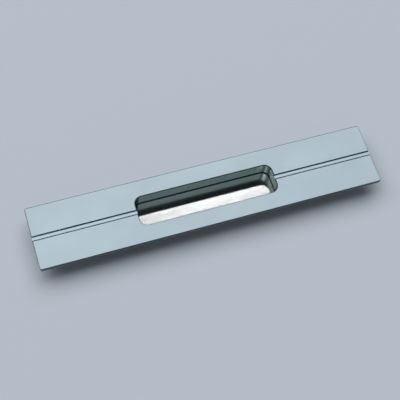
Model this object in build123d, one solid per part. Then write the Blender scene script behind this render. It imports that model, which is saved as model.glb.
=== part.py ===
# Recessed pull handle: a long flat face plate with a finger recess in its middle.
# Frame: X along the plate, Y across it, Z out of the face. The origin is centred
# under the handle, on the flat underside of the recess floor. All sizes in mm.
import os

from build123d import *

# Face plate
plate_length = 220.0
plate_width = 41.0
plate_thickness = 2.5
plate_corner_radius = 1.5
plate_edge_round = 0.5

# Finger recess
opening_length = 89.4
opening_width = 19.2
opening_corner_radius = 5.0
recess_depth = 10.5
rim_round = 0.5

# Cup that hangs below the plate round the recess
side_wall = 2.0
end_block = 8.0
cup_corner_radius = 4.0
cup_root_fillet = 0.5
shadow_gap_height = 1.2
shadow_gap_width = 1.0

# Separate floor that closes the cup from behind
floor_flange_thickness = 1.5
floor_step_height = 1.4
floor_step_clearance = 0.2
floor_flange_inset = 0.3
floor_edge_chamfer = 0.3

# Countersunk screws that hold the floor
screw_radius = 1.25
screw_head_radius = 2.35
screw_head_rim = 0.15
screw_head_sink = 0.1
screw_length = 6.0
screw_hole_spare_depth = 1.0
screw_thread_clearance = 0.03
screw_across = 12.0
screw_drive_length = 2.4
screw_drive_width = 0.5
screw_drive_depth = 0.7

# Strips let into a channel along the middle of the face
strip_width = 1.9
strip_thickness = 0.85
strip_gap = 0.8
strip_below_face = 0.5
strip_edge_chamfer = 0.1

# Threaded bosses behind the plate, for fixing it from the back
boss_end_distance = 15.0
boss_radius = 4.5
boss_height = 8.0
boss_root_fillet = 0.8
boss_thread_radius = 1.65
boss_thread_depth = 8.0
boss_mouth_chamfer = 0.4

# Levels, counted up from the underside of the floor
z_flange_top = floor_flange_thickness
z_floor = z_flange_top + floor_step_height
z_face = z_floor + recess_depth
z_plate_back = z_face - plate_thickness
z_gap_top = z_floor + shadow_gap_height
z_boss_mouth = z_plate_back - boss_height
z_strip_top = z_face - strip_below_face
z_channel_floor = z_strip_top - strip_thickness

# Sizes that follow from the ones above
cup_length = opening_length + 2 * end_block
cup_width = opening_width + 2 * side_wall
cavity_length = opening_length + 2 * shadow_gap_width
cavity_width = opening_width + 2 * shadow_gap_width
cavity_radius = opening_corner_radius + shadow_gap_width
channel_width = strip_width + 2 * strip_gap
strip_length = (plate_length - opening_length) / 2
screw_x = (cavity_length + cup_length) / 4
screw_hole_radius = screw_radius + screw_thread_clearance
screw_cone_height = screw_head_radius - screw_radius
boss_x = plate_length / 2 - boss_end_distance


def rounded_block(length, width, radius, z_low, z_high):
    """Upright block with a rounded rectangular outline, centred on the Z axis."""
    outline = Plane.XY.offset(z_low) * RectangleRounded(length, width, radius)
    return extrude(outline, z_high - z_low)


def upright_cylinder(x, y, radius, z_low, z_high):
    """Cylinder that stands at x, y between two levels."""
    return extrude(Plane.XY.offset(z_low) * Pos(x, y) * Circle(radius), z_high - z_low)


def edges_at(shape, level, length=plate_length, width=plate_width):
    """The edges of a shape at one level whose middles lie within a length and a width."""
    found = shape.edges().filter_by_position(Axis.Z, level, level)
    found = found.filter_by_position(Axis.X, -length / 2, length / 2)
    return found.filter_by_position(Axis.Y, -width / 2, width / 2)


def screw_places():
    """Centres of the four floor screws, two in each end block."""
    return [(side * screw_x, end * screw_across / 2) for side in (-1, 1) for end in (-1, 1)]


def boss_places():
    """Centres of the two threaded bosses."""
    return [(side * boss_x, 0.0) for side in (-1, 1)]


def make_blank():
    """Plate, cup and bosses in one piece, before anything is cut from them."""
    blank = rounded_block(plate_length, plate_width, plate_corner_radius, z_plate_back, z_face)
    blank = fillet(edges_at(blank, z_face), plate_edge_round)
    blank += rounded_block(cup_length, cup_width, cup_corner_radius, z_flange_top, z_plate_back)
    blank = fillet(edges_at(blank, z_plate_back, cup_length, cup_width), cup_root_fillet)
    for x, y in boss_places():
        blank += upright_cylinder(x, y, boss_radius, z_boss_mouth, z_plate_back)
    boss_roots = edges_at(blank, z_plate_back).filter_by(GeomType.CIRCLE)
    boss_roots = boss_roots.filter_by(lambda edge: abs(edge.radius - boss_radius) < 0.001)
    return fillet(boss_roots, boss_root_fillet)


def make_body():
    """Handle body with the recess, the shadow gap, the channel and every hole."""
    body = make_blank()
    body -= rounded_block(opening_length, opening_width, opening_corner_radius, 0, z_face)
    body = fillet(edges_at(body, z_face, opening_length, opening_width), rim_round)
    body -= rounded_block(cavity_length, cavity_width, cavity_radius, 0, z_gap_top)
    body -= Pos(0, 0, z_channel_floor) * Box(
        plate_length, channel_width, recess_depth, align=(Align.CENTER, Align.CENTER, Align.MIN))
    top_of_hole = screw_head_sink + screw_length + screw_hole_spare_depth
    for x, y in screw_places():
        body -= upright_cylinder(x, y, screw_hole_radius, 0, top_of_hole)
    for x, y in boss_places():
        body -= upright_cylinder(x, y, boss_thread_radius, z_boss_mouth, z_boss_mouth + boss_thread_depth)
        body -= Pos(x, y, z_boss_mouth) * Cone(
            boss_thread_radius + boss_mouth_chamfer, boss_thread_radius, boss_mouth_chamfer,
            align=(Align.CENTER, Align.CENTER, Align.MIN))
    return body


def make_floor():
    """Stepped plate: a flange under the cup and a raised floor inside it."""
    flange = rounded_block(
        cup_length - 2 * floor_flange_inset, cup_width - 2 * floor_flange_inset,
        cup_corner_radius - floor_flange_inset, 0, z_flange_top)
    flange = chamfer(edges_at(flange, 0), floor_edge_chamfer)
    step = rounded_block(
        cavity_length - 2 * floor_step_clearance, cavity_width - 2 * floor_step_clearance,
        cavity_radius - floor_step_clearance, z_flange_top, z_floor)
    floor = flange + step
    for x, y in screw_places():
        floor -= upright_cylinder(x, y, screw_hole_radius, 0, z_flange_top)
        floor -= Pos(x, y, 0) * Cylinder(
            screw_head_radius, screw_head_sink + screw_head_rim,
            align=(Align.CENTER, Align.CENTER, Align.MIN))
        floor -= Pos(x, y, screw_head_sink + screw_head_rim) * Cone(
            screw_head_radius, screw_radius, screw_cone_height,
            align=(Align.CENTER, Align.CENTER, Align.MIN))
    return floor


def make_screw():
    """Countersunk screw standing on its head, with a cross-shaped drive."""
    rim_top = screw_head_sink + screw_head_rim
    cone_top = rim_top + screw_cone_height
    tip = screw_head_sink + screw_length
    half = Polyline(
        (0, screw_head_sink), (screw_head_radius, screw_head_sink), (screw_head_radius, rim_top),
        (screw_radius, cone_top), (screw_radius, tip - screw_radius / 3),
        (screw_radius * 2 / 3, tip), (0, tip), close=True)
    screw = revolve(Plane.XZ * make_face(half), Axis.Z)
    for turn in (0, 90):
        screw -= Rot(0, 0, turn) * Pos(0, 0, screw_head_sink) * Box(
            screw_drive_length, screw_drive_width, screw_drive_depth,
            align=(Align.CENTER, Align.CENTER, Align.MIN))
    return screw


def make_screws():
    """The four equal screws."""
    return Compound([Pos(x, y, 0) * make_screw() for x, y in screw_places()])


def make_strips():
    """The two equal strips, one from each end of the plate to the recess."""
    strip = Box(strip_length, strip_width, strip_thickness, align=(Align.CENTER, Align.CENTER, Align.MIN))
    strip = chamfer(strip.edges().group_by(Axis.Z)[-1].filter_by(Axis.X), strip_edge_chamfer)
    reach = (plate_length + opening_length) / 4
    return Compound([Pos(side * reach, 0, z_channel_floor) * strip for side in (-1, 1)])


os.makedirs("parts", exist_ok=True)
export_step(make_body(), "parts/handle_body.step")
export_step(make_floor(), "parts/recess_floor.step")
export_step(make_screws(), "parts/floor_screws.step")
export_step(make_strips(), "parts/centre_strips.step")
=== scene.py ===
# Recessed pull handle on a pale studio floor, seen from the front left and above.
# Everything is in metres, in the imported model's own frame.
import math
from typing import NamedTuple

import bpy
from mathutils import Matrix, Vector


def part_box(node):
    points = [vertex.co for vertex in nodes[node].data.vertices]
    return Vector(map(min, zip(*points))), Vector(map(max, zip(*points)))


MM = 0.001


class Lamp(NamedTuple):
    """Area lamp aimed at the middle of the face, with its angles in degrees."""
    azimuth: float
    elevation: float
    distance: float
    width: float
    height: float
    watts: float


class Panel(NamedTuple):
    """Round patch of sky that fades out between two radii, with all angles in degrees."""
    azimuth: float
    elevation: float
    inner_radius: float
    outer_radius: float
    colour: tuple


class Pattern(NamedTuple):
    """Noise with so many cells per metre along each axis."""
    cells: tuple
    detail: float


class Relief(NamedTuple):
    """How far a pattern stands out."""
    distance: float
    strength: float


# Picture and camera
IMAGE_SIZE = 400
SENSOR = 36.0
FOCAL_PIXELS = 940.8
CAMERA_RIGHT = (0.94917, -0.30316, 0.08471)
CAMERA_UP = (0.24419, 0.87898, 0.40960)
CAMERA_FROM_FACE_CENTRE = (-0.12050, -0.21591, 0.52652)
CAMERA_CLIP = (0.01, 20.0)

# Small hard lamp that shines into the recess from behind. The recess floor has a stronger
# one of its own in the same place, so that few matt specks are enough to make it white.
KEY_LAMP = Lamp(azimuth=22.1, elevation=47.9, distance=2.0, width=0.05, height=0.05, watts=35.5)
FLOOR_KEY_LAMP = KEY_LAMP._replace(watts=67.0)

# Small lamp close by at the front left, which lifts the left end of the face
SIDE_LAMP = Lamp(azimuth=234.0, elevation=45.0, distance=0.38, width=0.16, height=0.16, watts=0.65)

# Large soft lamp that lays the shadow on the studio floor
SOFT_LAMP = Lamp(azimuth=-11.0, elevation=62.5, distance=8.0, width=14.82, height=7.8, watts=1010.0)

# Weak soft lamp from the front that lifts the shadow under the near edge
FRONT_LAMP = Lamp(azimuth=180.0, elevation=45.0, distance=4.0, width=3.0, height=3.0, watts=5.5)

# Surroundings: the camera sees the pale backdrop, which also stands all round the handle in
# what metal reflects, up to the heights in BACKDROP_TOP (sines of elevation). Metal reflects
# the sky and its panels above that, and the studio floor gets a light of its own.
BACKDROP_COLOUR = (0.475, 0.527, 0.602)
BACKDROP_TOP = (0.15, 0.35)
SKY_FOR_FLOOR = (0.10, 0.092, 0.083)
SKY_COLOUR = (0.07, 0.08, 0.08)
SKY_PANELS = (
    Panel(150, 62, 9, 12, (0.20, 0.238, 0.247)),
    Panel(222, 65, 8, 11, (0.44, 0.49, 0.47)),
    Panel(341, 62, 8, 14, (0.46, 0.53, 0.48)),
    Panel(0, 90, 10, 17, (0.34, 0.37, 0.38)),
    Panel(45, 60, 26, 38, (0.003, 0.005, 0.005)),
)

# Studio floor, a hair below the handle so that no two faces coincide
GROUND_REACH = 3.0
GROUND_LEVEL = -0.1 * MM
GROUND_ROUGHNESS = 0.9

# Range that most values of a noise lie in
NOISE_SPAN = (0.3, 0.7)

# Face of the plate: blasted, with fine grain and slow clouds a few centimetres wide
FACE_COLOUR = (0.486, 0.567, 0.615)
FACE_ROUGHNESS = 0.80
FACE_SKIN = 0.004 * MM
GRAIN = Pattern(cells=(1 / (0.16 * MM),) * 3, detail=3.0)
GRAIN_TONE = (0.965, 1.02)
GRAIN_ROUGHNESS = (-0.04, 0.04)
CLOUDS = Pattern(cells=(28.0, 40.0, 40.0), detail=2.0)
CLOUD_TONE = (-0.035, 0.04)
PLATE_RELIEF = Relief(distance=0.012 * MM, strength=0.35)

# Rounded edges of the face, painted dark as a painted dark reflection, darker along the sides than
# at the ends
EDGE_DARK_REFLECTION = (0.048, 0.075, 0.09)
EDGE_END_DARK_REFLECTION = (0.28, 0.30, 0.32)
EDGE_DEPTH = (0.45 * MM, 0.72 * MM)

# Walls of the recess and everything behind the face: drawn, with upright streaks
WALL_COLOUR = (0.47, 0.57, 0.56)
WALL_ROUGHNESS = 0.17
WALL_SPAN = (0.35, 0.65)
STREAKS = Pattern(cells=(2600.0, 2600.0, 40.0), detail=4.0)
STREAK_SPAN = (0.36, 0.64)
STREAK_TONE = (0.88, 1.12)
STREAK_ROUGHNESS = (-0.04, 0.06)
STREAK_HEIGHT = 1.5
BROAD_STREAKS = Pattern(cells=(420.0, 420.0, 25.0), detail=2.0)
BROAD_STREAK_TONE = (0.94, 1.06)

# Outer sides of the plate, the shadow gap at the foot of the wall, and the strips' channel, each
# painted darker as painted shade
FLANK_SHADE_COLOUR = (0.16, 0.21, 0.23)
FLANK_INSET = 0.6 * MM
# Painted shade: the gap's surfaces are coloured nearly black
GAP_SHADE_COLOUR = (0.002, 0.003, 0.003)
GAP_HEIGHT = 1.2 * MM
GAP_REACH_ALONG = 46.0 * MM
GAP_REACH_ACROSS = 11.0 * MM
# Painted shade: the channel is coloured darker than the walls
CHANNEL_SHADE_COLOUR = (0.31, 0.44, 0.50)
CHANNEL_DEPTH = 2.0 * MM
CHANNEL_REACH_ACROSS = 2.0 * MM
RECESS_REACH_ALONG = 45.0 * MM

# Recess floor: a mirror with fine matt specks and hairlines
FLOOR_COLOUR = (0.945, 0.957, 0.962)
MIRROR_ROUGHNESS = 0.15
SPECK_ROUGHNESS = 0.36
SPECKS = Pattern(cells=(5200.0, 5200.0, 5200.0), detail=1.0)
SPECK_SPAN = (0.6025, 0.6225)
HAIRLINES = Pattern(cells=(90.0, 6500.0, 90.0), detail=3.0)
HAIRLINE_TONE = (0.985, 1.0)
HAIRLINE_ROUGHNESS = (-0.02, 0.03)
FLOOR_CLOUD_TONE = (-0.008, 0.0)
FLOOR_RELIEF = Relief(distance=0.002 * MM, strength=0.15)

# Strips: the face's satin, drawn along their length, with sides below the top edges painted darker
# as painted shade
STRIP_COLOUR = (0.520, 0.606, 0.664)
STRIP_SIDE_SHADE_COLOUR = (0.27, 0.33, 0.38)
STRIP_EDGE_DEPTH = (0.10 * MM, 0.15 * MM)
STRIP_LINES = Pattern(cells=(60.0, 9000.0, 9000.0), detail=3.0)
STRIP_LINE_TONE = (0.96, 1.02)
STRIP_LINE_ROUGHNESS = (-0.05, 0.05)
STRIP_GRAIN_TONE = (-0.015, 0.015)
STRIP_RELIEF = Relief(distance=0.006 * MM, strength=0.3)

# Screws: zinc plated steel with a faint mottle
SCREW_COLOUR = (0.56, 0.57, 0.58)
MOTTLE = Pattern(cells=(1500.0, 1500.0, 1500.0), detail=4.0)
MOTTLE_TONE = (0.9, 1.06)
MOTTLE_ROUGHNESS = (0.28, 0.42)
SCREW_RELIEF = Relief(distance=0.006 * MM, strength=0.3)

# Sockets of a Mix node for each type of data: first value, second value, result
MIX_SOCKETS = {"FLOAT": (2, 3, 0), "RGBA": (6, 7, 2)}

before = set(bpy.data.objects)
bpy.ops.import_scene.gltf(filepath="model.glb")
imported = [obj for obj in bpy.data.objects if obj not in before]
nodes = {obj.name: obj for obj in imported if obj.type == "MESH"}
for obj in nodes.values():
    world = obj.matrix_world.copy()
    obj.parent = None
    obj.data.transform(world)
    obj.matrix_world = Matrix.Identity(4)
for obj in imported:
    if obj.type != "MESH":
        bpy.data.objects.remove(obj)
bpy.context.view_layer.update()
plate_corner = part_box("handle_body")[1]
face_z = plate_corner.z
strip_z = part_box("centre_strips")[1].z
recess_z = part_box("recess_floor")[1].z


class Graph:
    """A node tree under construction. A value may be a number, a tuple or another socket."""

    def __init__(self, tree):
        self.tree = tree

    def put(self, node, name, value):
        """Gives one input of a node a value or a link."""
        socket = node.inputs[name]
        if isinstance(value, bpy.types.NodeSocket):
            self.tree.links.new(value, socket)
        elif socket.type == "RGBA":
            socket.default_value = (*value, 1)
        else:
            socket.default_value = value

    def add(self, kind, **inputs):
        """New node with the inputs given, from_min standing for From Min."""
        node = self.tree.nodes.new(kind)
        for name, value in inputs.items():
            self.put(node, name.replace("_", " ").title(), value)
        return node

    def step(self, kind, operation, inputs, result):
        """One operation of a maths node on inputs that are given by name or number."""
        node = self.add(kind)
        node.operation = operation
        for name, value in inputs.items():
            self.put(node, name, value)
        return node.outputs[result]

    def calc(self, operation, *values):
        """One operation on numbers."""
        return self.step("ShaderNodeMath", operation, dict(enumerate(values)), "Value")

    def all_of(self, mask, *others):
        """1 where every mask is 1."""
        for other in others:
            mask = self.calc("MULTIPLY", mask, other)
        return mask

    def shaded(self, colour, factor):
        """Colour times a number."""
        return self.step("ShaderNodeVectorMath", "SCALE", {0: colour, "Scale": factor}, "Vector")

    def spread(self, value, span, result=(0.0, 1.0), smooth=False):
        """Maps a span of values onto the result and stops at its ends."""
        node = self.add(
            "ShaderNodeMapRange", value=value, from_min=span[0], from_max=span[1],
            to_min=result[0], to_max=result[1])
        node.interpolation_type = "SMOOTHSTEP" if smooth else "LINEAR"
        return node.outputs["Result"]

    def mix(self, kind, factor, first, second):
        """Goes from the first value to the second with the factor."""
        node = self.add("ShaderNodeMix", factor=factor)
        node.data_type = kind
        first_socket, second_socket, result = MIX_SOCKETS[kind]
        self.put(node, first_socket, first)
        self.put(node, second_socket, second)
        return node.outputs[result]

    def blend(self, factor, first, second):
        """Colour that goes from the first to the second with the factor."""
        return self.mix("RGBA", factor, first, second)


class Finish(Graph):
    """The node tree of a metal under construction."""

    def __init__(self, name):
        self.material = bpy.data.materials.new(name)
        self.material.use_nodes = True
        super().__init__(self.material.node_tree)
        self.place = self.add("ShaderNodeTexCoord").outputs["Object"]

    def noise(self, pattern):
        """Smooth random value round one half."""
        place = self.step(
            "ShaderNodeVectorMath", "MULTIPLY", {0: self.place, 1: pattern.cells}, "Vector")
        node = self.add("ShaderNodeTexNoise", vector=place, scale=1.0, detail=pattern.detail)
        return node.outputs["Fac"]

    def finish(self, colour, roughness, height, relief):
        """Links the results to the metal's shader and returns the material."""
        bump = self.add(
            "ShaderNodeBump", strength=relief.strength, distance=relief.distance, height=height)
        shader = self.tree.nodes["Principled BSDF"]
        self.put(shader, "Base Color", colour)
        self.put(shader, "Metallic", 1.0)
        self.put(shader, "Roughness", roughness)
        self.put(shader, "Normal", bump.outputs["Normal"])
        return self.material


def direction(azimuth, elevation):
    """Unit vector; azimuth turns from +Y to +X."""
    a, e = math.radians(azimuth), math.radians(elevation)
    return Vector((math.sin(a) * math.cos(e), math.cos(a) * math.cos(e), math.sin(e)))


def make_camera():
    """Camera at the photograph's viewing angle."""
    data = bpy.data.cameras.new("camera")
    data.sensor_width = SENSOR
    data.lens = FOCAL_PIXELS / IMAGE_SIZE * SENSOR
    data.clip_start, data.clip_end = CAMERA_CLIP
    camera = bpy.data.objects.new("camera", data)
    bpy.context.scene.collection.objects.link(camera)
    right = Vector(CAMERA_RIGHT).normalized()
    up = Vector(CAMERA_UP).normalized()
    back = right.cross(up)
    place = Vector(CAMERA_FROM_FACE_CENTRE) + Vector((0, 0, face_z))
    turn = Matrix((right, up, back)).transposed().to_4x4()
    camera.matrix_world = Matrix.Translation(place) @ turn
    bpy.context.scene.camera = camera


def dress(node, material):
    """Gives a node's object its material."""
    slots = nodes[node].data.materials
    slots.clear()
    slots.append(material)


def plate_regions(look):
    """Masks that tell the surfaces of the handle body apart."""
    x, y, z = look.add("ShaderNodeSeparateXYZ", vector=look.place).outputs
    depth = look.calc("SUBTRACT", face_z, z)
    along = look.calc("ABSOLUTE", x)
    across = look.calc("ABSOLUTE", y)
    at_end = look.calc("GREATER_THAN", along, plate_corner.x - FLANK_INSET)
    at_side = look.calc("GREATER_THAN", across, plate_corner.y - FLANK_INSET)
    return {
        "below_face": look.spread(depth, (FACE_SKIN, 2 * FACE_SKIN)),
        "below_edge": look.spread(depth, EDGE_DEPTH, smooth=True),
        "at_end": at_end,
        "outside": look.calc("MAXIMUM", at_end, at_side),
        "in_gap": look.all_of(
            look.calc("LESS_THAN", z, recess_z + GAP_HEIGHT + FACE_SKIN),
            look.calc("LESS_THAN", along, GAP_REACH_ALONG),
            look.calc("LESS_THAN", across, GAP_REACH_ACROSS)),
        "in_channel": look.all_of(
            look.calc("LESS_THAN", depth, CHANNEL_DEPTH),
            look.calc("LESS_THAN", across, CHANNEL_REACH_ACROSS),
            look.calc("GREATER_THAN", along, RECESS_REACH_ALONG)),
    }


def satin_plate():
    """Blasted face, rounded edges painted dark as a painted dark reflection, and drawn walls of the
    handle body with painted shade on the outer sides, channel and shadow gap.
    """
    look = Finish("satin_plate")
    region = plate_regions(look)
    grain = look.noise(GRAIN)
    clouds = look.noise(CLOUDS)
    streaks = look.noise(STREAKS)
    broad_streaks = look.noise(BROAD_STREAKS)

    face_tone = look.calc(
        "ADD", look.spread(grain, NOISE_SPAN, GRAIN_TONE),
        look.spread(clouds, NOISE_SPAN, CLOUD_TONE))
    face_colour = look.shaded(FACE_COLOUR, face_tone)

    wall_tone = look.calc(
        "MULTIPLY", look.spread(streaks, STREAK_SPAN, STREAK_TONE),
        look.spread(broad_streaks, WALL_SPAN, BROAD_STREAK_TONE))
    # Painted shade: the outer side faces are coloured dark
    wall_and_shade_colour = look.blend(region["outside"], WALL_COLOUR, FLANK_SHADE_COLOUR)
    wall_and_shade_colour = look.shaded(wall_and_shade_colour, wall_tone)
    # Painted shade: the shadow gap's surfaces are coloured nearly black
    wall_and_shade_colour = look.blend(region["in_gap"], wall_and_shade_colour, GAP_SHADE_COLOUR)
    # Painted shade: the strips' channel is coloured darker
    wall_and_shade_colour = look.blend(region["in_channel"], wall_and_shade_colour, CHANNEL_SHADE_COLOUR)

    # Painted dark reflection: the rounded edges are coloured dark, less so at the ends
    edge_reflection_colour = look.blend(region["at_end"], EDGE_DARK_REFLECTION, EDGE_END_DARK_REFLECTION)
    low_colour = look.blend(region["below_edge"], edge_reflection_colour, wall_and_shade_colour)
    colour = look.blend(region["below_face"], face_colour, low_colour)

    face_rough = look.calc(
        "ADD", FACE_ROUGHNESS, look.spread(grain, NOISE_SPAN, GRAIN_ROUGHNESS))
    wall_rough = look.calc(
        "ADD", WALL_ROUGHNESS, look.spread(streaks, WALL_SPAN, STREAK_ROUGHNESS))
    rough = look.mix("FLOAT", region["below_edge"], face_rough, wall_rough)
    streak_height = look.calc("MULTIPLY", streaks, STREAK_HEIGHT)
    height = look.mix("FLOAT", region["below_face"], grain, streak_height)
    return look.finish(colour, rough, height, PLATE_RELIEF)


def polished_floor():
    """Lightly polished plate: a sharp mirror with fine matt specks and hairlines."""
    look = Finish("polished_floor")
    specks = look.noise(SPECKS)
    hairlines = look.noise(HAIRLINES)
    clouds = look.noise(CLOUDS)
    rough = look.mix(
        "FLOAT", look.spread(specks, SPECK_SPAN), MIRROR_ROUGHNESS, SPECK_ROUGHNESS)
    rough = look.calc("ADD", rough, look.spread(hairlines, NOISE_SPAN, HAIRLINE_ROUGHNESS))
    tone = look.calc(
        "ADD", look.spread(hairlines, NOISE_SPAN, HAIRLINE_TONE),
        look.spread(clouds, NOISE_SPAN, FLOOR_CLOUD_TONE))
    return look.finish(look.shaded(FLOOR_COLOUR, tone), rough, hairlines, FLOOR_RELIEF)


def strip_metal():
    """Satin strip, drawn along its length, with sides painted darker as painted shade."""
    look = Finish("strip_metal")
    lines = look.noise(STRIP_LINES)
    grain = look.noise(GRAIN)
    height = look.add("ShaderNodeSeparateXYZ", vector=look.place).outputs["Z"]
    below_top = look.spread(look.calc("SUBTRACT", strip_z, height), STRIP_EDGE_DEPTH)
    tone = look.calc(
        "ADD", look.spread(lines, NOISE_SPAN, STRIP_LINE_TONE),
        look.spread(grain, NOISE_SPAN, STRIP_GRAIN_TONE))
    # Painted shade: the strip's sides below the top edge are coloured darker
    colour = look.shaded(look.blend(below_top, STRIP_COLOUR, STRIP_SIDE_SHADE_COLOUR), tone)
    rough = look.calc(
        "ADD", FACE_ROUGHNESS, look.spread(lines, NOISE_SPAN, STRIP_LINE_ROUGHNESS))
    return look.finish(colour, rough, lines, STRIP_RELIEF)


def screw_steel():
    """Zinc plated steel with a faint mottle."""
    look = Finish("screw_steel")
    mottle = look.noise(MOTTLE)
    colour = look.shaded(SCREW_COLOUR, look.spread(mottle, NOISE_SPAN, MOTTLE_TONE))
    rough = look.spread(mottle, NOISE_SPAN, MOTTLE_ROUGHNESS)
    return look.finish(colour, rough, mottle, SCREW_RELIEF)


def make_ground():
    """Pale studio floor under the handle."""
    mesh = bpy.data.meshes.new("ground")
    signs = ((-1, -1), (1, -1), (1, 1), (-1, 1))
    corners = [(x * GROUND_REACH, y * GROUND_REACH, GROUND_LEVEL) for x, y in signs]
    mesh.from_pydata(corners, [], [(0, 1, 2, 3)])
    ground = bpy.data.objects.new("ground", mesh)
    bpy.context.scene.collection.objects.link(ground)
    material = bpy.data.materials.new("ground")
    material.use_nodes = True
    shader = material.node_tree.nodes["Principled BSDF"]
    shader.inputs["Base Color"].default_value = (*BACKDROP_COLOUR, 1)
    shader.inputs["Roughness"].default_value = GROUND_ROUGHNESS
    shader.inputs["Specular IOR Level"].default_value = 0.0
    mesh.materials.append(material)
    return ground


def make_world():
    """Pale backdrop, and the dim sky with soft panels that metal reflects above it."""
    world = bpy.data.worlds.new("world")
    bpy.context.scene.world = world
    world.use_nodes = True
    sky = Graph(world.node_tree)
    ray = sky.add("ShaderNodeLightPath").outputs
    towards = sky.add("ShaderNodeTexCoord").outputs["Generated"]

    reflected = SKY_COLOUR
    for panel in SKY_PANELS:
        middle = direction(panel.azimuth, panel.elevation)
        nearness = sky.step(
            "ShaderNodeVectorMath", "DOT_PRODUCT", {0: towards, 1: middle}, "Value")
        rim = [math.cos(math.radians(r)) for r in (panel.outer_radius, panel.inner_radius)]
        reflected = sky.blend(sky.spread(nearness, rim, smooth=True), reflected, panel.colour)
    height = sky.add("ShaderNodeSeparateXYZ", vector=towards).outputs["Z"]
    above_backdrop = sky.spread(height, BACKDROP_TOP, smooth=True)
    reflected = sky.blend(above_backdrop, BACKDROP_COLOUR, reflected)

    seen = sky.blend(ray["Is Diffuse Ray"], reflected, SKY_FOR_FLOOR)
    for kind in ("Is Camera Ray", "Is Transmission Ray"):
        seen = sky.blend(ray[kind], seen, BACKDROP_COLOUR)
    sky.put(sky.tree.nodes["Background"], "Color", seen)


def make_lamp(name, setting, lit):
    """Lamp that lights only the objects given."""
    data = bpy.data.lights.new(name, "AREA")
    data.shape = "RECTANGLE"
    data.size = setting.width
    data.size_y = setting.height
    data.energy = setting.watts
    lamp = bpy.data.objects.new(name, data)
    bpy.context.scene.collection.objects.link(lamp)
    towards = direction(setting.azimuth, setting.elevation)
    lamp.location = towards * setting.distance + Vector((0, 0, face_z))
    lamp.rotation_mode = "QUATERNION"
    lamp.rotation_quaternion = towards.to_track_quat("Z", "Y")
    lamp.visible_camera = False
    receivers = bpy.data.collections.new(name + "_lit")
    for thing in lit:
        receivers.objects.link(thing)
    lamp.light_linking.receiver_collection = receivers


make_camera()
dress("handle_body", satin_plate())
dress("recess_floor", polished_floor())
dress("floor_screws", screw_steel())
dress("centre_strips", strip_metal())
ground = make_ground()
make_world()
make_lamp("key", KEY_LAMP, [nodes[name] for name in nodes if name != "recess_floor"])
make_lamp("floor_key", FLOOR_KEY_LAMP, [nodes["recess_floor"]])
make_lamp("side", SIDE_LAMP, [nodes["handle_body"], nodes["centre_strips"]])
make_lamp("soft", SOFT_LAMP, [ground])
make_lamp("front", FRONT_LAMP, [ground])

bpy.context.scene.view_settings.view_transform = "Standard"
